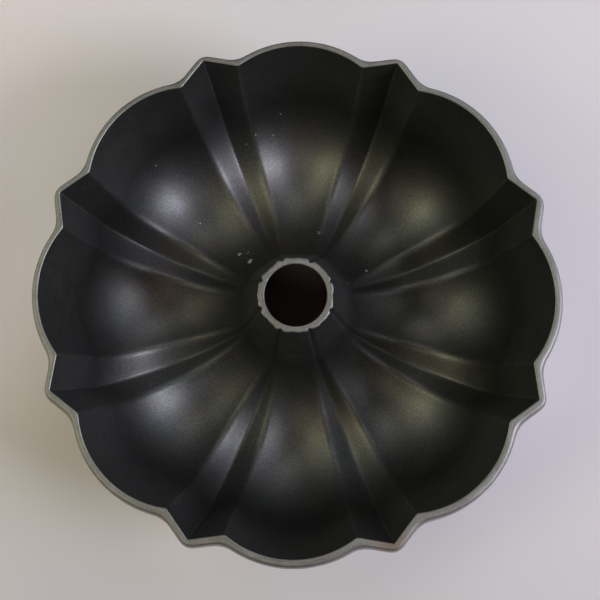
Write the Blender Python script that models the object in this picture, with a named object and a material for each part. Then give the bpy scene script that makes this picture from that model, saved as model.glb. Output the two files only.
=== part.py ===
"""Fluted ring cake pan, open side up: an aluminium casting and the nonstick coating on its inside.

Metres, +Z up along the centre tube, origin at the centre of the underside.
The pan has eight round lobes with a pointed groove between each two. One line down the middle of a
lobe gives its section: a drafted wall, a round trough, a small fillet and the tapered tube. The ridges
that border a groove and the groove's own floor run beside that line, at heights given by short tables.
"""
import math

import bmesh
import bpy
import numpy as np

# Driving dimensions of the coated inside face.
LOBES = 8
HEIGHT = 0.0901             # foot flats to rim
LOBE_RADIUS = 0.1276        # rim, at the middle of a lobe
TROUGH_RADIUS = 0.0728      # from the axis to the centre of the trough's round section
TROUGH_DROP = 0.0415        # from the rim down to that centre
TROUGH_ARC = 0.0455         # radius of the trough's round section
TUBE_FILLET = 0.005
RING_RADIUS = 0.0186        # top of the tube, at the middle of a flat
RING_DROP = 0.0025          # rim to tube top
TUBE_TAPER = math.radians(12.0)

# Values at four stops down the section: rim, bottom of the trough, foot of the tube, top of the tube.
RIDGE_HEIGHT = (0.0069, 0.0054, 0.0014, 0.0004)
GROOVE_HEIGHT = (-0.0014, -0.0004, 0.0002, -0.0007)
GROOVE_HALF_WIDTH = (0.0155, 0.0101, 0.0027, 0.0015)
BORE_HEIGHT = 0.0           # ridge and groove at the top of the round bore

# Depths behind the inside face.
COATING_DEPTH = 0.0003
CASTING_FACE = 0.0006
CASTING_BACK = 0.0038
RIM_BACK = 0.0030
LIP_BACK = 0.0061           # widest place of the lip around the rim
LIP_WIDEST = 0.0059         # distance down the wall to it
LIP_END = 0.0084
BORE_RADIUS = 0.0155
RIDGE_MITRE = 1.09          # a crease lies this much further back than the plain faces beside it
GROOVE_MITRE = 1.14

# Facets.
WALL_STEPS = 2
LIP_WALL_STEPS = 1          # from the lip to the trough, on the back
OUTER_ARC_STEPS = 5
INNER_ARC_STEPS = 4
FILLET_STEPS = 2
TUBE_STEPS = 2
LOBE_STEPS = 8
FOOT_HALF_ANGLE = math.radians(6.0)     # half of the trough's arc that a foot flat takes

SECTOR = 2.0 * math.pi / LOBES
TROUGH_BOTTOM = -0.5 * math.pi
TUBE_FACING = -(math.pi - TUBE_TAPER)
SMOOTH_ANGLE = math.radians(20.0)


def clear_scene():
    for item in list(bpy.data.objects):
        bpy.data.objects.remove(item, do_unlink=True)


def make_material(name, colour, roughness, metallic):
    material = bpy.data.materials.new(name)
    material.use_nodes = True
    shader = material.node_tree.nodes["Principled BSDF"]
    shader.inputs["Base Color"].default_value = (*colour, 1.0)
    shader.inputs["Roughness"].default_value = roughness
    shader.inputs["Metallic"].default_value = metallic
    return material


def on_circle(centre, radius, angle):
    return centre + radius * np.array([math.cos(angle), math.sin(angle)])


def spread(start, end, steps):
    """Evenly spaced values after start, up to and including end."""
    return [start + (end - start) * step / steps for step in range(1, steps + 1)]


def lobe_line(with_lip):
    """Rows down the middle of a lobe, and the four stops of the tables.

    A row is (point, facing, distance): the point's radius and height above the rim, the angle of the
    direction out of the metal's back, and the distance from the rim along the line. With a lip, the
    wall has rows at the lip's widest place and at its end.
    """
    trough = np.array([TROUGH_RADIUS, -TROUGH_DROP])
    rim = np.array([LOBE_RADIUS, 0.0])
    reach = np.linalg.norm(rim - trough)
    wall_facing = math.atan2(*(rim - trough)[::-1]) - math.acos(TROUGH_ARC / reach)
    wall_end = on_circle(trough, TROUGH_ARC, wall_facing)
    wall_length = np.linalg.norm(wall_end - rim)

    ring = np.array([RING_RADIUS, -RING_DROP])
    down_tube = np.array([math.sin(TUBE_TAPER), -math.cos(TUBE_TAPER)])
    off_tube = np.array([math.cos(TUBE_TAPER), math.sin(TUBE_TAPER)])
    start = ring + TUBE_FILLET * off_tube - trough
    along = start @ down_tube
    tube_length = -along + math.sqrt(along ** 2 - start @ start + (TROUGH_ARC - TUBE_FILLET) ** 2)
    tube_foot = ring + tube_length * down_tube
    fillet = tube_foot + TUBE_FILLET * off_tube
    fillet_facing = math.atan2(*(fillet - trough)[::-1])

    def arc_row(angle):
        distance = wall_length + TROUGH_ARC * (wall_facing - angle)
        return on_circle(trough, TROUGH_ARC, angle), angle, distance

    if with_lip:
        wall_distances = [0.0, LIP_WIDEST, LIP_END, *spread(LIP_END, wall_length, LIP_WALL_STEPS)]
    else:
        wall_distances = [0.0, *spread(0.0, wall_length, WALL_STEPS)]
    rows = []
    for distance in wall_distances:
        part = distance / wall_length
        rows.append((rim + part * (wall_end - rim), part * wall_facing, distance))
    foot_start = TROUGH_BOTTOM + FOOT_HALF_ANGLE
    foot_end = TROUGH_BOTTOM - FOOT_HALF_ANGLE
    for angle in spread(wall_facing, foot_start, OUTER_ARC_STEPS):
        rows.append(arc_row(angle))
    rows.append(arc_row(foot_end))
    for angle in spread(foot_end, fillet_facing, INNER_ARC_STEPS):
        rows.append(arc_row(angle))
    fillet_start = rows[-1][2]
    for angle in spread(fillet_facing, TUBE_FACING, FILLET_STEPS):
        distance = fillet_start + TUBE_FILLET * (fillet_facing - angle)
        rows.append((on_circle(fillet, TUBE_FILLET, angle), angle, distance))
    tube_start = rows[-1][2]
    for part in spread(0.0, 1.0, TUBE_STEPS):
        facing = TUBE_FACING + part * (-math.pi - TUBE_FACING)
        rows.append((tube_foot + part * (ring - tube_foot), facing, tube_start + part * tube_length))
    stops = (0.0, arc_row(TROUGH_BOTTOM)[2], tube_start, tube_start + tube_length)
    return rows, stops


def between_stops(stops, values, distance):
    """Smooth value at a distance: a cubic curve through the table's values."""
    slopes = np.gradient(np.array(values), np.array(stops))
    index = min(int(np.searchsorted(stops, distance, side="right")), len(stops) - 1) - 1
    span = stops[index + 1] - stops[index]
    t = (distance - stops[index]) / span
    return (values[index] * (1.0 + 2.0 * t) * (1.0 - t) ** 2
            + values[index + 1] * (3.0 - 2.0 * t) * t ** 2
            + span * slopes[index] * t * (1.0 - t) ** 2
            - span * slopes[index + 1] * t ** 2 * (1.0 - t))


def lobe_bow(ridge, middle, half_angle):
    """Points of the round arc across a lobe, from one ridge to the other, in the lobe's own frame."""
    chord = np.array([ridge[0] * math.cos(half_angle), 0.0, ridge[1]])
    half_width = ridge[0] * math.sin(half_angle)
    rise = np.array([middle[0], 0.0, middle[1]]) - chord
    bend = max(2.0 * math.atan2(np.linalg.norm(rise), half_width), 0.01)
    points = []
    for step in range(LOBE_STEPS + 1):
        angle = bend * (2.0 * step / LOBE_STEPS - 1.0)
        across = half_width * math.sin(angle) / math.sin(bend)
        share = (math.cos(angle) - math.cos(bend)) / (1.0 - math.cos(bend))
        points.append(chord + share * rise + np.array([0.0, across, 0.0]))
    return points


def turned(point, angle):
    cosine, sine = math.cos(angle), math.sin(angle)
    return (point[0] * cosine - point[1] * sine, point[0] * sine + point[1] * cosine, point[2])


def back_depth(distance, up_tube):
    """How far the casting's back lies behind the coated face."""
    if distance == 0.0:
        return RIM_BACK
    if distance == LIP_WIDEST:
        return LIP_BACK
    return CASTING_BACK + up_tube * (RING_RADIUS - BORE_RADIUS - CASTING_BACK)


def share_up_tube(distance, stops):
    return max(0.0, distance - stops[2]) / (stops[3] - stops[2])


def flute_rings(line, stops, depths, ridge_heights, groove_heights):
    """Rings of points around the pan, one for each row of the line and its depth behind the coated face."""
    rings = []
    for (point, facing, distance), depth in zip(line, depths):
        inwards = -np.array([math.cos(facing), math.sin(facing)])
        up_tube = share_up_tube(distance, stops)
        ridge_mitre = RIDGE_MITRE + up_tube * (1.0 - RIDGE_MITRE)
        groove_mitre = GROOVE_MITRE + up_tube * (1.0 - GROOVE_MITRE)
        ridge_height = between_stops(stops, ridge_heights, distance)
        groove_height = between_stops(stops, groove_heights, distance)
        half_width = between_stops(stops, GROOVE_HALF_WIDTH, distance)
        ridge_angle = math.asin(half_width / (point + ridge_height * inwards)[0])
        middle = point - depth * inwards
        ridge = point + (ridge_height - ridge_mitre * depth) * inwards
        groove = point + (groove_height - groove_mitre * depth) * inwards
        bow = lobe_bow(ridge, middle, 0.5 * SECTOR - ridge_angle)
        ring = []
        for lobe in range(LOBES):
            lobe_angle = lobe * SECTOR
            ring.append(turned((groove[0], 0.0, groove[1]), lobe_angle - 0.5 * SECTOR))
            ring.extend(turned(place, lobe_angle) for place in bow)
        rings.append(ring)
    return rings


def inside_rings(depth):
    """Rim first, at one depth all the way."""
    line, stops = lobe_line(with_lip=False)
    return flute_rings(line, stops, [depth] * len(line), RIDGE_HEIGHT, GROOVE_HEIGHT)


def back_rings():
    """The casting's back, rim first: a lip at the rim, ground foot flats and a round bore up the tube."""
    line, stops = lobe_line(with_lip=True)
    depths = [back_depth(distance, share_up_tube(distance, stops)) for point, facing, distance in line]
    ridge_heights = (*RIDGE_HEIGHT[:3], BORE_HEIGHT)
    groove_heights = (*GROOVE_HEIGHT[:3], BORE_HEIGHT)
    rings = flute_rings(line, stops, depths, ridge_heights, groove_heights)
    return [[(x, y, max(z, -HEIGHT)) for x, y, z in ring] for ring in rings]


def add_skin(bm, rings, faces_cavity):
    """Triangles between neighbouring rings. The quads are all cut along the same diagonal."""
    rows = [[bm.verts.new(point) for point in ring] for ring in rings]
    for upper, lower in zip(rows, rows[1:]):
        join_rings(bm, upper, lower, faces_cavity)
    return rows


def join_rings(bm, upper, lower, faces_cavity):
    count = len(upper)
    for here in range(count):
        there = (here + 1) % count
        for corners in ((upper[here], upper[there], lower[there]), (upper[here], lower[there], lower[here])):
            bm.faces.new(corners if faces_cavity else corners[::-1])


def make_shell(name, face_rings, other_rings, material, parent):
    """A closed shell between two faces, with flat edges at the rim and at the top of the tube."""
    bm = bmesh.new()
    inside = add_skin(bm, face_rings, faces_cavity=True)
    back = add_skin(bm, other_rings, faces_cavity=False)
    join_rings(bm, back[0], inside[0], faces_cavity=True)
    join_rings(bm, inside[-1], back[-1], faces_cavity=True)
    mesh = bpy.data.meshes.new(name)
    bm.to_mesh(mesh)
    bm.free()
    mesh.shade_smooth()
    mesh.set_sharp_from_angle(angle=SMOOTH_ANGLE)
    mesh.materials.append(material)
    shell = bpy.data.objects.new(name, mesh)
    shell.parent = parent
    bpy.context.scene.collection.objects.link(shell)
    return shell


def make_rim_centre():
    """The point on the axis that the heights are measured from."""
    rim_centre = bpy.data.objects.new("rim_centre", None)
    rim_centre.location = (0.0, 0.0, HEIGHT)
    bpy.context.scene.collection.objects.link(rim_centre)
    return rim_centre


def make_cast_body(parent):
    material = make_material("cast_aluminium", (0.58, 0.57, 0.55), 0.45, 1.0)
    return make_shell("cast_body", inside_rings(CASTING_FACE), back_rings(), material, parent)


def make_nonstick_coating(parent):
    material = make_material("nonstick_coating", (0.035, 0.034, 0.032), 0.42, 0.2)
    return make_shell("nonstick_coating", inside_rings(0.0), inside_rings(COATING_DEPTH), material, parent)


clear_scene()
rim_centre = make_rim_centre()
make_cast_body(rim_centre)
make_nonstick_coating(rim_centre)
bpy.context.view_layer.update()
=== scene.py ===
"""Looks of a fluted ring cake pan: its fine surfaces, its materials, a plain studio and the camera.

Both frame nodes, the casting and its nonstick coating, are replaced by finer meshes of the same section.
Metres, +Z up along the centre tube. A place on the pan is given by its distance down the section line,
which starts at the rim and ends at the top of the tube, and by its depth behind the coated face.
"""
import math

import bpy
import numpy as np
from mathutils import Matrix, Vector


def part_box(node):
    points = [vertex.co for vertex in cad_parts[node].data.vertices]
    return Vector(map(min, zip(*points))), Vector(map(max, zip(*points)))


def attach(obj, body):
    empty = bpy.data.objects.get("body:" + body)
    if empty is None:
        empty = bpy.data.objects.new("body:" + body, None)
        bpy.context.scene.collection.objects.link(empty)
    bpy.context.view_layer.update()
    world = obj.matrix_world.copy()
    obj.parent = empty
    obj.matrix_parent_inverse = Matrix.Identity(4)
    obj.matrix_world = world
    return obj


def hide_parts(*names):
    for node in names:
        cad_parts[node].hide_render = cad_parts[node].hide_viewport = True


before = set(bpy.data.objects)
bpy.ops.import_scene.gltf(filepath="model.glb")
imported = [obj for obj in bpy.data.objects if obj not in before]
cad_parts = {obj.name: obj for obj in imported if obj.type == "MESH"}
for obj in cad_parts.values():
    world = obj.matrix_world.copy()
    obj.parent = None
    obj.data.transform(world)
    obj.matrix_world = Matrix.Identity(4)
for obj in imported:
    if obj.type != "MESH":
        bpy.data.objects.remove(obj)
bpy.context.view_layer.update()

# The coated inside face, as in the frame.
LOBES = 8
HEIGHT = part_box("cast_body")[1].z       # foot flats to rim
LOBE_RADIUS = 0.1276        # rim, at the middle of a lobe
TROUGH_RADIUS = 0.0728      # from the axis to the centre of the trough's round section
TROUGH_DROP = 0.0415        # from the rim down to that centre
TROUGH_ARC = 0.0455         # radius of the trough's round section
TUBE_FILLET = 0.005
RING_RADIUS = 0.0186        # top of the tube, at the middle of a flat
RING_DROP = 0.0025          # rim to tube top
TUBE_TAPER = math.radians(12.0)
BORE_RADIUS = 0.0155
RING_DEPTH = RING_RADIUS - BORE_RADIUS      # of metal in the tube's top

# Values at four stops down the section: rim, bottom of the trough, foot of the tube, top of the tube.
RIDGE_HEIGHT = (0.0069, 0.0054, 0.0014, 0.0006)
GROOVE_HEIGHT = (-0.0014, -0.0004, 0.0002, -0.0007)
GROOVE_HALF_WIDTH = (0.0155, 0.0101, 0.0027, 0.0017)
RIDGE_SOFTNESS = (0.0013, 0.0030, 0.0018, 0.0008)      # how much of each leg the rounding takes away
GROOVE_SOFTNESS = (0.0008, 0.0013, 0.0007, 0.0003)
BACK_RIDGE_SOFTNESS = (0.0060, 0.0044, 0.0016, 0.0007)
BACK_GROOVE_SOFTNESS = (0.0048, 0.0030, 0.0012, 0.0007)

# Depths behind the coated face.
COATING_BACK = 0.00005
CASTING_FACE = 0.00008
CASTING_BACK = 0.0038
RIM_BACK = 0.0030
LIP_BACK = 0.0057           # widest place of the lip around the rim
RIDGE_MITRE = 1.09          # a crease lies this many times as far back as the plain faces beside it
GROOVE_MITRE = 1.14

# Distances from the rim, and from the top of the tube.
BARE_EDGE = 0.0004          # the coating ends here
METAL_STEP = 0.00038        # the bare metal drops behind the coating just short of there
COVERED = 0.0012            # the casting's rows under the coating start here
RIM_CHAMFER = 0.0004
RING_CHAMFER = 0.0004
LIP_WIDEST = 0.0059
LIP_END = 0.0084
PLAIN_WALL = 0.0114         # the lip's rounding is past

# How much of each leg the rounding of a corner takes away.
STEP_SOFTNESS = 0.00002
RING_SOFTNESS = 0.0001
RIM_INNER_SOFTNESS = 0.00025
RIM_OUTER_SOFTNESS = 0.0015
LIP_SOFTNESS = 0.0012
LONGEST_CUT = 0.45          # share of the leg, at most

OUTSIDE_SHIFT = np.array([0.0004, -0.0006])     # the casting's outside sits a little off its inside

# Unevenness of the tube's top edge: how many waves go around it, and their height.
FILING = ((5, 0.00016), (11, 0.00013), (23, 0.00010))
FILING_START = 1.0          # radians by which the waves are turned
FILING_FADE = 8             # the higher, the sooner they die away down the tube

# Mesh resolution.
GROOVE_STEPS = 2            # across half of a groove's rounded floor
FACET_STEPS = 4
RIDGE_STEPS = 5
BOW_STEPS = 9               # from a ridge to the middle of a lobe
FLATTEST_BOW = 0.01         # smallest half angle of a lobe's arc
TROUGH_SPACING = 0.0021     # between rows
STRAIGHT_SPACING = 0.00315
FILLET_SPACING = 0.00063
RING_STEPS = 3              # in each rounded corner of the tube's top
RIM_STEPS = 5
SMOOTH_ANGLE = math.radians(32.0)
FLUTE_COLUMNS = 2 * (GROOVE_STEPS + FACET_STEPS + RIDGE_STEPS + BOW_STEPS)
RIDGE_COLUMN = GROOVE_STEPS + FACET_STEPS + 0.5 * RIDGE_STEPS      # counted from the groove's middle

# Surface finishes.
AS_CAST, GROUND = 0, 1
GROUND_EDGE = 0.0009        # grinding has bared the metal down to this distance below the rim
SECTION_UV = "round_and_down"
ROUND_THE_RIM = 0.9         # about the length of the rim
COATING_GREEN = (0.123, 0.129, 0.127, 1.0)
COATING_BROWN = (0.135, 0.128, 0.121, 1.0)
COATING_STAINED = (0.150, 0.105, 0.080, 1.0)
COATING_CHIPPED = (0.50, 0.50, 0.47, 1.0)
CAST_BRIGHT = (0.36, 0.355, 0.35, 1.0)
CAST_DULL = (0.30, 0.295, 0.285, 1.0)
CAST_PAINTED_SHADE = (0.080, 0.045, 0.036, 1.0)
GROUND_BRIGHT = (0.315, 0.311, 0.296, 1.0)
GROUND_DULL = (0.252, 0.249, 0.230, 1.0)
GROUND_STAINED = (0.30, 0.20, 0.14, 1.0)
PAINTED_SHADE_GAIN = 0.77           # brightness of the coating in the band of painted shade
PAINTED_LIGHT_GAIN = 1.35          # and in the patch of painted light
PAINTED_SHADE_STRETCH = (0.4, 1.0, 1.25, 1.75)     # wall lengths from the rim: begins, full, still full, ends
CREASE_WEAR_AND_HIGHLIGHT = 0.20                 # how pale the creases get at their palest: partly worn-thin coating, partly painted highlight
RIDGE_WEAR_AND_HIGHLIGHT = 0.6            # of the grooves' paleness
GROOVE_WEAR_AND_HIGHLIGHT_REACH = 1.2     # mesh columns to either side
RIDGE_WEAR_AND_HIGHLIGHT_REACH = 1.4
WEAR_AND_HIGHLIGHT_WALL = (0.3, 1.6)      # wall lengths from the rim: the pale lines are full down to the first, and then fade
BORE_SHADE_RADIUS = (0.026, 0.046)   # painted shade: the bare metal darkens to brownish black up to the first, and is clean past the second

# Pale marks on the coating: degrees from +X, distance down the section and, for the chips, radius.
CHIPS = (
    (135.6, 0.140, 0.0009), (134.0, 0.151, 0.0014), (131.0, 0.144, 0.0005), (76.0, 0.142, 0.0006),
    (32.6, 0.144, 0.0008),
)
SPECKS = (
    (28.0, 0.168), (96.0, 0.064), (104.4, 0.073), (99.0, 0.078), (108.1, 0.079), (135.3, 0.062),
    (137.8, 0.108),
)
SPECK_RADIUS = 0.0004

# Larger single places: degrees from +X, distance down the section and radius.
COATING_STAIN = (170.0, 0.104, 0.012)
# A patch of painted light, brightening the highlights of the northern trough.
PAINTED_LIGHT_PLACE = (103.0, 0.104, 0.035)
RIM_STAIN = (-68.1, 0.0, 0.007)

# Painted light and shade on the floor: it is warmer to the west than to the east, and darker to the
# south. West is -X and south is -Y.
# Each patch has a centre, a radius and a tint: the first is painted shade to the south-west, the second
# painted light that lifts the pan's shadow to the west.
FLOOR_SIZE = 12.0
FLOOR_WEST = (0.92, 0.835, 0.83, 1.0)
FLOOR_EAST = (0.78, 0.745, 0.755, 1.0)
FLOOR_SOUTH_SHARE = 0.85
FLOOR_WEST_TO_EAST = (-0.16, -0.02)     # where one colour turns into the other
FLOOR_SOUTH_TO_NORTH = (-0.16, -0.04)
FLOOR_PAINTED_LIGHT_AND_SHADE = (
    ((-0.20, -0.20, 0.0), 0.115, (0.87, 0.90, 0.93)),
    ((-0.22, 0.03, 0.0), 0.11, (1.06, 1.07, 1.15)),
)

# Soft studio lights: name, degrees from straight up, degrees from +X, size, power, colour.
LIGHT_AIM = Vector((0.0, 0.0, 0.05))
LIGHT_DISTANCE = 1.6
LIGHTS = (
    ("cool_low", 60.0, 346.0, 0.8, 12.0, (0.83, 0.84, 1.0)),
    ("cool_high", 49.0, 345.0, 0.6, 6.4, (0.93, 0.91, 1.0)),
    ("cool_side", 56.0, 15.0, 0.9, 4.1, (0.77, 0.79, 1.0)),
    ("warm_main", 47.0, 196.0, 0.7, 5.2, (1.0, 0.97, 0.61)),
    ("warm_side", 63.0, 165.0, 0.8, 2.1, (0.85, 1.0, 0.95)),
    ("north_west", 32.0, 160.0, 0.8, 2.4, (1.0, 0.97, 0.78)),
    ("north", 32.0, 72.0, 0.8, 2.6, (0.99, 1.0, 0.96)),
    ("north_east", 63.0, 60.0, 0.8, 2.0, (0.80, 0.85, 1.0)),
    ("south", 32.0, 260.0, 0.8, 1.6, (1.0, 0.88, 0.72)),
)

# The camera looks down into the pan, from a little south of it.
CAMERA_PLACE = (0.0096, -0.0673, 0.5774)
CAMERA_TURN = (7.55, 0.72, 1.09)        # degrees
CAMERA_LENS = 60.0
CAMERA_SENSOR = 36.0

SECTOR = 2.0 * math.pi / LOBES

# The section line: points are radius and height above the rim, and a facing is the direction that the
# metal's back looks in.
TROUGH_CENTRE = np.array([TROUGH_RADIUS, -TROUGH_DROP])
RIM_POINT = np.array([LOBE_RADIUS, 0.0])
RING_POINT = np.array([RING_RADIUS, -RING_DROP])
TUBE_FACING = TUBE_TAPER - math.pi


def on_circle(centre, radius, angle):
    return centre + radius * np.array([math.cos(angle), math.sin(angle)])


def direction_of(vector):
    return math.atan2(vector[1], vector[0])


WALL_FACING = direction_of(RIM_POINT - TROUGH_CENTRE) - math.acos(
    TROUGH_ARC / np.linalg.norm(RIM_POINT - TROUGH_CENTRE))
WALL_END = on_circle(TROUGH_CENTRE, TROUGH_ARC, WALL_FACING)
WALL_LENGTH = np.linalg.norm(WALL_END - RIM_POINT)
DOWN_TUBE = np.array([math.sin(TUBE_TAPER), -math.cos(TUBE_TAPER)])
OFF_TUBE = np.array([math.cos(TUBE_TAPER), math.sin(TUBE_TAPER)])
TUBE_START = RING_POINT + TUBE_FILLET * OFF_TUBE - TROUGH_CENTRE
TUBE_LENGTH = math.sqrt((TUBE_START @ DOWN_TUBE) ** 2 - TUBE_START @ TUBE_START
                        + (TROUGH_ARC - TUBE_FILLET) ** 2) - TUBE_START @ DOWN_TUBE
TUBE_FOOT = RING_POINT + TUBE_LENGTH * DOWN_TUBE
FILLET_CENTRE = TUBE_FOOT + TUBE_FILLET * OFF_TUBE
FILLET_FACING = direction_of(FILLET_CENTRE - TROUGH_CENTRE)

# Distances down the section line.
TROUGH_BOTTOM_AT = WALL_LENGTH + TROUGH_ARC * (WALL_FACING + 0.5 * math.pi)
FILLET_AT = WALL_LENGTH + TROUGH_ARC * (WALL_FACING - FILLET_FACING)
TUBE_AT = FILLET_AT + TUBE_FILLET * (FILLET_FACING - TUBE_FACING)
RING_AT = TUBE_AT + TUBE_LENGTH
STOPS = (0.0, TROUGH_BOTTOM_AT, TUBE_AT, RING_AT)


def section_at(distance):
    """Radius and height of the section line, and the direction out of the metal's back."""
    if distance < WALL_LENGTH:
        part = distance / WALL_LENGTH
        return RIM_POINT + part * (WALL_END - RIM_POINT), part * WALL_FACING
    if distance < FILLET_AT:
        facing = WALL_FACING - (distance - WALL_LENGTH) / TROUGH_ARC
        return on_circle(TROUGH_CENTRE, TROUGH_ARC, facing), facing
    if distance < TUBE_AT:
        facing = FILLET_FACING - (distance - FILLET_AT) / TUBE_FILLET
        return on_circle(FILLET_CENTRE, TUBE_FILLET, facing), facing
    part = (distance - TUBE_AT) / TUBE_LENGTH
    return TUBE_FOOT + part * (RING_POINT - TUBE_FOOT), TUBE_FACING - part * TUBE_TAPER


def between_stops(values, distance):
    """Smooth value at a distance: a cubic curve through the values at the four stops."""
    slopes = np.gradient(np.array(values), np.array(STOPS))
    index = min(int(np.searchsorted(STOPS, distance, side="right")), len(STOPS) - 1) - 1
    span = STOPS[index + 1] - STOPS[index]
    t = (distance - STOPS[index]) / span
    return (values[index] * (1.0 + 2.0 * t) * (1.0 - t) ** 2
            + values[index + 1] * (3.0 - 2.0 * t) * t ** 2
            + span * slopes[index] * t * (1.0 - t) ** 2
            - span * slopes[index + 1] * t ** 2 * (1.0 - t))


def mixed(start, end, share):
    return start + (end - start) * share


def mixed_all(starts, ends, share):
    return [mixed(start, end, share) for start, end in zip(starts, ends)]


def turned(points, angle):
    """Points turned about the pan's axis."""
    cosine, sine = math.cos(angle), math.sin(angle)
    x, y, z = np.asarray(points).T
    return np.stack([x * cosine - y * sine, x * sine + y * cosine, z], axis=-1)


def in_plane(point, angle=0.0):
    """A (radius, height) point, turned about the axis."""
    return turned([[point[0], 0.0, point[1]]], angle)[0]


def rounded_corner(start, corner, end, parts):
    """Points of the curve that leaves start towards the corner and arrives at end from it."""
    return [(1.0 - t) ** 2 * start + 2.0 * t * (1.0 - t) * corner + t ** 2 * end for t in parts]


def towards(start, end, distance):
    """The point at a distance from start on the way to end, but never past the longest cut."""
    return start + (end - start) * min(distance / np.linalg.norm(end - start), LONGEST_CUT)


def half_flute(middle, ridge, groove, ridge_softness, groove_softness):
    """Points from the floor of a groove, at angle 0, over its ridge to the middle of the next lobe."""
    mirror = np.array([1.0, -1.0, 1.0])
    facet_low = towards(groove, ridge, groove_softness)
    facet_high = towards(ridge, groove, ridge_softness)

    # The lobe's arc, in the lobe's own frame. It runs from one ridge to the other over the middle.
    half = 0.5 * SECTOR
    lobe_ridge = turned([ridge], -half)[0]
    lobe_middle = turned([middle], -half)[0]
    half_width = -lobe_ridge[1]
    chord = lobe_ridge * np.array([1.0, 0.0, 1.0])
    rise = lobe_middle - chord
    bend = max(2.0 * math.atan2(np.linalg.norm(rise), half_width), FLATTEST_BOW)

    def on_bow(angle):
        share = (math.cos(angle) - math.cos(bend)) / (1.0 - math.cos(bend))
        across = half_width * math.sin(angle) / math.sin(bend)
        return turned([chord + share * rise + np.array([0.0, across, 0.0])], half)[0]

    bow_length = half_width * bend / math.sin(bend)
    bow_start = -bend * (1.0 - min(ridge_softness / bow_length, LONGEST_CUT))
    points = rounded_corner(facet_low * mirror, groove, facet_low,
                            [0.5 + 0.5 * step / GROOVE_STEPS for step in range(GROOVE_STEPS)])
    points += [mixed(facet_low, facet_high, step / FACET_STEPS) for step in range(FACET_STEPS)]
    points += rounded_corner(facet_high, ridge, on_bow(bow_start),
                             [step / RIDGE_STEPS for step in range(RIDGE_STEPS)])
    points += [on_bow(bow_start * (1.0 - step / BOW_STEPS)) for step in range(BOW_STEPS + 1)]
    return np.array(points)


def filed(ring, amount):
    """Makes a ring of points slightly uneven, as its edge is after filing by hand."""
    radius = np.hypot(ring[:, 0], ring[:, 1])
    around = np.arctan2(ring[:, 1], ring[:, 0])
    waves = sum(height * np.sin(count * (around + FILING_START)) for count, height in FILING)
    return ring * np.stack([1.0 + amount * waves / radius] * 2 + [np.ones(len(ring))], axis=-1)


def ring_of_points(distance, depth):
    """All points around the pan at a distance down the section and a depth behind the coated face."""
    point, facing = section_at(distance)
    inwards = -np.array([math.cos(facing), math.sin(facing)])
    up_tube = max(0.0, distance - TUBE_AT) / TUBE_LENGTH
    to_bore = min(1.0, depth / RING_DEPTH)
    to_back = min(1.0, depth / CASTING_BACK)
    ridge_height = between_stops((*RIDGE_HEIGHT[:3], mixed(RIDGE_HEIGHT[3], 0.0, to_bore)), distance)
    groove_height = between_stops((*GROOVE_HEIGHT[:3], mixed(GROOVE_HEIGHT[3], 0.0, to_bore)), distance)
    half_width = between_stops(GROOVE_HALF_WIDTH, distance)
    ridge_angle = math.asin(half_width / (point + ridge_height * inwards)[0])
    middle = point - depth * inwards
    ridge = point + (ridge_height - mixed(RIDGE_MITRE, 1.0, up_tube) * depth) * inwards
    groove = point + (groove_height - mixed(GROOVE_MITRE, 1.0, up_tube) * depth) * inwards
    half = half_flute(in_plane(middle, 0.5 * SECTOR), in_plane(ridge, ridge_angle), in_plane(groove),
                      between_stops(mixed_all(RIDGE_SOFTNESS, BACK_RIDGE_SOFTNESS, to_back), distance),
                      between_stops(mixed_all(GROOVE_SOFTNESS, BACK_GROOVE_SOFTNESS, to_back), distance))
    bore_share = up_tube * to_bore
    radius = np.hypot(half[:, 0], half[:, 1])
    half[:, :2] *= mixed(radius, middle[0], bore_share)[:, None] / radius[:, None]
    flute = np.vstack([half[:0:-1] * np.array([1.0, -1.0, 1.0]), half[:-1]])
    ring = np.vstack([turned(flute, (lobe + 0.5) * SECTOR) for lobe in range(LOBES)])
    ring = filed(ring, up_tube ** FILING_FADE * (1.0 - to_bore))
    ring[:, :2] += to_back * (1.0 - up_tube) * OUTSIDE_SHIFT
    ring[:, 2] = np.maximum(ring[:, 2] + HEIGHT, 0.0)
    return ring


def spread(start, end, spacing):
    """Evenly spaced values from start to end, both included."""
    return np.linspace(start, end, max(1, round(abs(end - start) / spacing)) + 1)


def rounded_line(corners, softness, steps):
    """The corners of a line, each but the first and the last rounded off."""
    corners = [np.array(corner) for corner in corners]
    points = [corners[0]]
    for before, corner, after, cut in zip(corners, corners[1:], corners[2:], softness):
        parts = [step / steps for step in range(steps + 1)]
        start, end = towards(corner, before, cut), towards(corner, after, cut)
        points += rounded_corner(start, corner, end, parts)
    return points + [corners[-1]]


def inside_distances(start, end):
    """Row distances from start to end, closer together around the small fillet at the tube's foot."""
    stretches = (
        (start, WALL_LENGTH, STRAIGHT_SPACING), (WALL_LENGTH, FILLET_AT, TROUGH_SPACING),
        (FILLET_AT, TUBE_AT, FILLET_SPACING), (TUBE_AT, end, STRAIGHT_SPACING),
    )
    rows = [start]
    for stretch in stretches:
        rows += list(spread(*stretch)[1:])
    return rows


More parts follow.
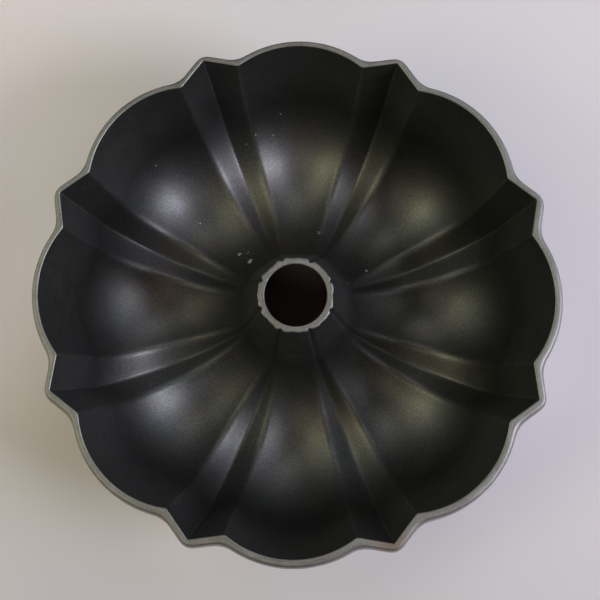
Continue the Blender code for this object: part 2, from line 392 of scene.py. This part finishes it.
def mesh_of_rings(name, rings, materials, slots):
    """A closed mesh of rings, each joined to the next and the last one to the first.

    Its UV map holds metres: u around the pan and v down the section. slots gives each ring's material.
    """
    rings = np.array(rings)
    rows, columns = rings.shape[:2]
    index = np.arange(rows * columns).reshape(rows, columns)
    across = np.roll(index, -1, axis=1)
    faces = np.stack([index, across, np.roll(across, -1, axis=0), np.roll(index, -1, axis=0)], axis=-1)
    mesh = bpy.data.meshes.new(name)
    mesh.from_pydata(rings.reshape(-1, 3), [], faces.reshape(-1, 4))
    column, row = np.meshgrid(np.arange(columns), np.arange(rows))
    steps = np.linalg.norm(np.roll(rings, -1, axis=0) - rings, axis=-1).mean(axis=1)
    down = np.concatenate([[0.0], np.cumsum(steps)])
    u = np.stack([column, column + 1, column + 1, column], axis=-1) * (ROUND_THE_RIM / columns)
    v = down[np.stack([row, row, row + 1, row + 1], axis=-1)]
    uv_map = mesh.uv_layers.new(name=SECTION_UV)
    uv_map.data.foreach_set("uv", np.stack([u, v], axis=-1).ravel())
    mesh.polygons.foreach_set("material_index", np.repeat(slots, columns))
    for material in materials:
        mesh.materials.append(material)
    mesh.shade_smooth()
    mesh.set_sharp_from_angle(angle=SMOOTH_ANGLE)
    return mesh


def add_piece(mesh, node):
    piece = bpy.data.objects.new(mesh.name, mesh)
    bpy.context.scene.collection.objects.link(piece)
    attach(piece, "root")
    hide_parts(node)


def coating_mesh():
    distances = inside_distances(BARE_EDGE, RING_AT - BARE_EDGE)
    rings = [ring_of_points(distance, 0.0) for distance in distances]
    rings += [ring_of_points(distance, COATING_BACK) for distance in reversed(distances)]
    slots = np.zeros(len(rings), int)
    return mesh_of_rings("nonstick_coating_fine", rings, [nonstick_material()], slots)


def back_depth(distance):
    """How far the casting's back lies behind the coated face. It closes in on the bore up the tube."""
    return mixed(CASTING_BACK, RING_DEPTH, max(0.0, distance - TUBE_AT) / TUBE_LENGTH)


def ring_top_places():
    """Distances and depths over the tube's top, from under the coating to the bore."""
    profile = rounded_line(
        [(COVERED, CASTING_FACE), (METAL_STEP, CASTING_FACE), (METAL_STEP, 0.0), (0.0, RING_CHAMFER),
         (0.0, RING_DEPTH - RING_CHAMFER), (RING_CHAMFER, RING_DEPTH)],
        [STEP_SOFTNESS, STEP_SOFTNESS, RING_SOFTNESS, RING_SOFTNESS], RING_STEPS)
    return [(RING_AT - distance, depth) for distance, depth in profile[1:]]


def rim_places():
    """Distances and depths from the wall's back over the lip and the rim to under the coating."""
    profile = rounded_line(
        [(PLAIN_WALL, CASTING_BACK), (LIP_END, CASTING_BACK), (LIP_WIDEST, LIP_BACK), (0.0, RIM_BACK),
         (0.0, RIM_CHAMFER), (METAL_STEP, 0.0), (METAL_STEP, CASTING_FACE)],
        [LIP_SOFTNESS, LIP_SOFTNESS, RIM_OUTER_SOFTNESS, RIM_INNER_SOFTNESS, STEP_SOFTNESS], RIM_STEPS)
    return profile[1:]


def casting_mesh():
    """The casting: under the coating, over the tube's top, down the bore, up the back, over the rim."""
    inside = [(distance, CASTING_FACE) for distance in inside_distances(COVERED, RING_AT - COVERED)]
    ring_top = ring_top_places()
    back_distances = inside_distances(PLAIN_WALL, RING_AT - 2.0 * RING_CHAMFER)
    back = [(distance, back_depth(distance)) for distance in reversed(back_distances)]
    rim = rim_places()
    slots = [GROUND] * (len(inside) + len(ring_top) - 1) + [AS_CAST] * (len(back) + 1)
    slots += [GROUND if distance < GROUND_EDGE else AS_CAST for distance, depth in rim]
    rings = [ring_of_points(*place) for place in inside + ring_top + back + rim]
    return mesh_of_rings("cast_body_fine", rings, [as_cast_material(), ground_material()], slots)


class Nodes:
    """A material's node tree, with short calls to add and join its nodes."""

    def __init__(self, name):
        self.material = bpy.data.materials.new(name)
        self.material.use_nodes = True
        self.tree = self.material.node_tree
        self.shader = self.tree.nodes["Principled BSDF"]

    def add(self, kind, settings=None, **inputs):
        node = self.tree.nodes.new(kind)
        for key, value in (settings or {}).items():
            setattr(node, key, value)
        for key, value in inputs.items():
            self.feed(node.inputs[key.replace("_", " ")], value)
        return node

    def feed(self, socket, value):
        if isinstance(value, bpy.types.NodeSocket):
            self.tree.links.new(value, socket)
        else:
            socket.default_value = value

    def surface(self, name, value):
        self.feed(self.shader.inputs[name], value)

    def noise(self, scale, detail=2.0, roughness=0.5, vector=None, output="Fac"):
        """Noise in space. Its scale is in waves per metre, or per unit of the vector that it is given."""
        node = self.add("ShaderNodeTexNoise", Scale=scale, Detail=detail, Roughness=roughness)
        self.feed(node.inputs["Vector"], vector or self.place())
        return node.outputs[output]

    def patches(self, noise, low=0.35, high=0.65):
        """0 to 1 in soft patches: noise with its middle values drawn apart."""
        return self.ramp(noise, low, high, 0.0, 1.0)

    def place(self):
        return self.add("ShaderNodeTexCoord").outputs["Object"]

    def vector_math(self, operation, first, second=None, **inputs):
        node = self.add("ShaderNodeVectorMath", {"operation": operation}, **inputs)
        self.feed(node.inputs[0], first)
        if second is not None:
            self.feed(node.inputs[1], second)
        return node.outputs["Value" if operation in ("DISTANCE", "LENGTH") else "Vector"]

    def warped_place(self, scale, amount):
        """The place, shaken about by up to the amount, so that round spots get ragged edges."""
        shake = self.vector_math("SUBTRACT", self.noise(scale, output="Color"), (0.5, 0.5, 0.5))
        shake = self.vector_math("SCALE", shake, Scale=amount)
        return self.vector_math("ADD", self.place(), shake)

    def spot(self, vector, point, radius, softness):
        """1 inside a ball, 0 outside it, with a soft edge that takes the given share of the radius."""
        away = self.vector_math("DISTANCE", vector, tuple(point))
        return self.ramp(away, radius * (1.0 - softness), radius * (1.0 + softness), 1.0, 0.0)

    def math(self, operation, first, second=0.0):
        node = self.add("ShaderNodeMath", {"operation": operation})
        self.feed(node.inputs[0], first)
        self.feed(node.inputs[1], second)
        return node.outputs["Value"]

    def largest(self, values):
        top = values[0]
        for value in values[1:]:
            top = self.math("MAXIMUM", top, value)
        return top

    def section(self):
        """The UV map's metres around the pan, X, and down the section, Y."""
        place = self.add("ShaderNodeUVMap", {"uv_map": SECTION_UV}).outputs["UV"]
        return self.add("ShaderNodeSeparateXYZ", Vector=place).outputs

    def near_column(self, column, reach):
        """1 at a mesh column, counted from each groove's middle, and 0 further from it than the reach."""
        flutes = self.math("FRACT", self.math("MULTIPLY", self.section()["X"], LOBES / ROUND_THE_RIM))
        from_groove = self.math("ABSOLUTE", self.math("SUBTRACT", flutes, 0.5))
        away = self.math("ABSOLUTE", self.math("SUBTRACT", from_groove, column / FLUTE_COLUMNS))
        return self.ramp(away, 0.0, reach / FLUTE_COLUMNS, 1.0, 0.0)

    def along_edge(self, per_metre_along, per_metre_across):
        """A place for marks that run around the pan, parallel to the rim."""
        level = self.add("ShaderNodeSeparateXYZ", Vector=self.place()).outputs
        joined = self.add("ShaderNodeCombineXYZ", X=level["X"], Y=level["Y"], Z=self.section()["Y"])
        scale = (per_metre_along, per_metre_along, per_metre_across)
        return self.vector_math("MULTIPLY", joined.outputs["Vector"], scale)

    def distance_from_axis(self):
        return self.vector_math("LENGTH", self.vector_math("MULTIPLY", self.place(), (1.0, 1.0, 0.0)))

    def scaled(self, colour, factor):
        return self.vector_math("SCALE", colour, Scale=factor)

    def varied(self, colour, share, low, high):
        """The colour, low to high times as bright as the share goes from 0 to 1."""
        return self.blend(share, self.scaled(colour, low), self.scaled(colour, high))

    def ramp(self, value, low, high, start, end):
        """Takes low..high to start..end."""
        node = self.add("ShaderNodeMapRange", From_Min=low, From_Max=high, To_Min=start, To_Max=end)
        self.feed(node.inputs["Value"], value)
        return node.outputs["Result"]

    def blend(self, share, first, second):
        node = self.add("ShaderNodeMix", {"data_type": "RGBA"})
        self.feed(node.inputs["Factor"], share)
        self.feed(node.inputs["A"], first)
        self.feed(node.inputs["B"], second)
        return node.outputs["Result"]

    def bump(self, height, distance):
        node = self.add("ShaderNodeBump", Strength=1.0, Distance=distance, Height=height)
        return node.outputs["Normal"]


def point_on_pan(degrees, distance):
    """The point of the coated face at an angle from +X and a distance down the section."""
    ring = ring_of_points(distance, 0.0)
    angles = np.degrees(np.arctan2(ring[:, 1], ring[:, 0]))
    return [np.interp(degrees, angles, values, period=360.0) for values in ring.T]


def spot_on_pan(nodes, place, degrees, distance, radius, softness):
    """A soft spot around a point of the coated face."""
    return nodes.spot(place, point_on_pan(degrees, distance), radius, softness)


def painted_shade_band(nodes):
    """1 around the foot of the wall, where painted shade darkens the coating."""
    begins, full, still_full, ends = [share * WALL_LENGTH for share in PAINTED_SHADE_STRETCH]
    distance = nodes.section()["Y"]
    above = nodes.ramp(distance, begins, full, 0.0, 1.0)
    below = nodes.ramp(distance, still_full, ends, 1.0, 0.0)
    return nodes.math("MULTIPLY", above, below)


def worn_and_highlit_creases(nodes):
    """Broken pale lines along the grooves and ridges of the wall: partly wear where the coating is thin,
    partly painted highlight.
    """
    grooves = nodes.near_column(0.0, GROOVE_WEAR_AND_HIGHLIGHT_REACH)
    ridges = nodes.math("MULTIPLY", nodes.near_column(RIDGE_COLUMN, RIDGE_WEAR_AND_HIGHLIGHT_REACH), RIDGE_WEAR_AND_HIGHLIGHT)
    lines = nodes.largest([grooves, ridges])
    full, ends = [share * WALL_LENGTH for share in WEAR_AND_HIGHLIGHT_WALL]
    on_wall = nodes.ramp(nodes.section()["Y"], full, ends, 1.0, 0.0)
    broken = nodes.ramp(nodes.noise(350.0, 3.0), 0.40, 0.65, 0.1 * CREASE_WEAR_AND_HIGHLIGHT, CREASE_WEAR_AND_HIGHLIGHT)
    return nodes.math("MULTIPLY", nodes.math("MULTIPLY", lines, on_wall), broken)


def chips_and_specks(nodes):
    ragged = nodes.warped_place(1100.0, 0.0045)
    chips = [spot_on_pan(nodes, ragged, *chip, softness=0.3) for chip in CHIPS]
    specks = [spot_on_pan(nodes, nodes.place(), *speck, SPECK_RADIUS, softness=0.4) for speck in SPECKS]
    return chips + specks


def nonstick_material():
    """Dark metallic flake: fine grain, faint mottle, painted light and painted shade, a stain, pale
    creases of wear and painted highlight, chips and specks.
    """
    nodes = Nodes("nonstick_flake")
    mottle = nodes.patches(nodes.noise(45.0, 4.0, 0.65), high=0.7)
    colour = nodes.blend(mottle, COATING_GREEN, COATING_BROWN)
    # Painted light: a soft patch that brightens the coating in the northern trough.
    painted_light = spot_on_pan(nodes, nodes.place(), *PAINTED_LIGHT_PLACE, softness=0.6)
    colour = nodes.blend(painted_light, colour, nodes.scaled(colour, PAINTED_LIGHT_GAIN))
    # Painted shade: a darker band of coating around the foot of the wall.
    colour = nodes.blend(painted_shade_band(nodes), colour, nodes.scaled(colour, PAINTED_SHADE_GAIN))
    stain = spot_on_pan(nodes, nodes.warped_place(60.0, 0.01), *COATING_STAIN, softness=0.7)
    colour = nodes.blend(nodes.ramp(stain, 0.0, 1.0, 0.0, 0.45), colour, COATING_STAINED)
    grain = nodes.patches(nodes.noise(1300.0, 2.0, 0.7))
    colour = nodes.varied(colour, grain, 0.74, 1.26)
    # Pale marks: chips and specks, and crease lines that are partly wear and partly painted highlight.
    marks = nodes.largest(chips_and_specks(nodes) + [worn_and_highlit_creases(nodes)])
    nodes.surface("Base Color", nodes.blend(marks, colour, COATING_CHIPPED))
    nodes.surface("Metallic", nodes.ramp(marks, 0.0, 1.0, 1.0, 0.2))
    nodes.surface("Roughness", nodes.ramp(nodes.noise(90.0, 3.0), 0.3, 0.7, 0.47, 0.53))
    nodes.surface("Normal", nodes.bump(nodes.noise(1100.0, 2.0), 0.00004))
    return nodes.material


def aluminium_colour(nodes, bright, dull, scale):
    """Slightly uneven bare metal."""
    return nodes.blend(nodes.patches(nodes.noise(scale, 4.0, 0.6), high=0.7), bright, dull)


def as_cast_material():
    """Bare casting skin with a fine sandy grain, with painted shade darkening it up the inside of the
    tube.
    """
    nodes = Nodes("aluminium_as_cast")
    clean = aluminium_colour(nodes, CAST_BRIGHT, CAST_DULL, 60.0)
    # Painted shade: near-black brown up the inside of the tube and close around it.
    bore_shade = nodes.ramp(nodes.distance_from_axis(), *BORE_SHADE_RADIUS, 1.0, 0.0)
    nodes.surface("Base Color", nodes.blend(bore_shade, clean, CAST_PAINTED_SHADE))
    nodes.surface("Metallic", 1.0)
    nodes.surface("Roughness", nodes.ramp(nodes.noise(150.0, 3.0), 0.3, 0.7, 0.42, 0.56))
    nodes.surface("Normal", nodes.bump(nodes.noise(900.0, 3.0, 0.6), 0.00005))
    return nodes.material


def ground_material():
    """Rim and tube top, ground flat and dulled: streaks along the edge, a grain and a brown stain."""
    nodes = Nodes("aluminium_ground")
    streaks = nodes.patches(nodes.noise(1.0, 3.0, 0.6, nodes.along_edge(40.0, 1800.0)))
    colour = aluminium_colour(nodes, GROUND_BRIGHT, GROUND_DULL, 120.0)
    colour = nodes.varied(colour, streaks, 0.85, 1.12)
    grain = nodes.patches(nodes.noise(1500.0, 2.0, 0.7))
    colour = nodes.varied(colour, grain, 0.82, 1.15)
    stain = spot_on_pan(nodes, nodes.warped_place(300.0, 0.006), *RIM_STAIN, softness=0.5)
    colour = nodes.blend(nodes.ramp(stain, 0.0, 1.0, 0.0, 0.5), colour, GROUND_STAINED)
    nodes.surface("Base Color", colour)
    nodes.surface("Metallic", 1.0)
    nodes.surface("Roughness", nodes.ramp(streaks, 0.0, 1.0, 0.48, 0.62))
    nodes.surface("Normal", nodes.bump(grain, 0.00003))
    return nodes.material


def make_floor():
    bpy.ops.mesh.primitive_plane_add(size=FLOOR_SIZE)
    floor = bpy.context.object
    floor.name = "floor"
    nodes = Nodes("pale_floor")
    across = nodes.add("ShaderNodeSeparateXYZ", Vector=nodes.place())
    # Painted light and shade: warmer to the west, cooler to the east, darker to the south.
    east = nodes.ramp(across.outputs["X"], *FLOOR_WEST_TO_EAST, 0.0, 1.0)
    north = nodes.ramp(across.outputs["Y"], *FLOOR_SOUTH_TO_NORTH, 0.0, 1.0)
    colour = nodes.blend(east, FLOOR_WEST, FLOOR_EAST)
    colour = nodes.blend(north, nodes.scaled(colour, FLOOR_SOUTH_SHARE), colour)
    # Patches of painted shade to the south-west and painted light to the west.
    for centre, radius, tint in FLOOR_PAINTED_LIGHT_AND_SHADE:
        patch = nodes.spot(nodes.place(), centre, radius, 0.3)
        colour = nodes.blend(patch, colour, nodes.vector_math("MULTIPLY", colour, tint))
    nodes.surface("Base Color", colour)
    nodes.surface("Roughness", 0.9)
    floor.data.materials.append(nodes.material)


def add_light(name, polar, azimuth, size, power, colour):
    """A round soft light aimed at the pan. Its direction is in degrees from straight up and from +X."""
    data = bpy.data.lights.new(name, "AREA")
    data.shape = "DISK"
    data.size = size
    data.energy = power
    data.color = colour
    polar, azimuth = math.radians(polar), math.radians(azimuth)
    out = Vector(in_plane((math.sin(polar), math.cos(polar)), azimuth))
    light = bpy.data.objects.new(name, data)
    light.location = LIGHT_AIM + LIGHT_DISTANCE * out
    light.rotation_euler = (-out).to_track_quat("-Z", "Y").to_euler()
    bpy.context.scene.collection.objects.link(light)


def make_studio():
    make_floor()
    for light in LIGHTS:
        add_light(*light)
    world = bpy.data.worlds.new("studio")
    world.use_nodes = True
    world.node_tree.nodes["Background"].inputs["Color"].default_value = (0.0, 0.0, 0.0, 1.0)
    bpy.context.scene.world = world
    bpy.context.scene.view_settings.view_transform = "Standard"


def make_camera():
    data = bpy.data.cameras.new("camera")
    data.sensor_width = CAMERA_SENSOR
    data.lens = CAMERA_LENS
    camera = bpy.data.objects.new("camera", data)
    camera.location = CAMERA_PLACE
    camera.rotation_euler = [math.radians(angle) for angle in CAMERA_TURN]
    bpy.context.scene.collection.objects.link(camera)
    bpy.context.scene.camera = camera


make_camera()
make_studio()
add_piece(casting_mesh(), "cast_body")
add_piece(coating_mesh(), "nonstick_coating")
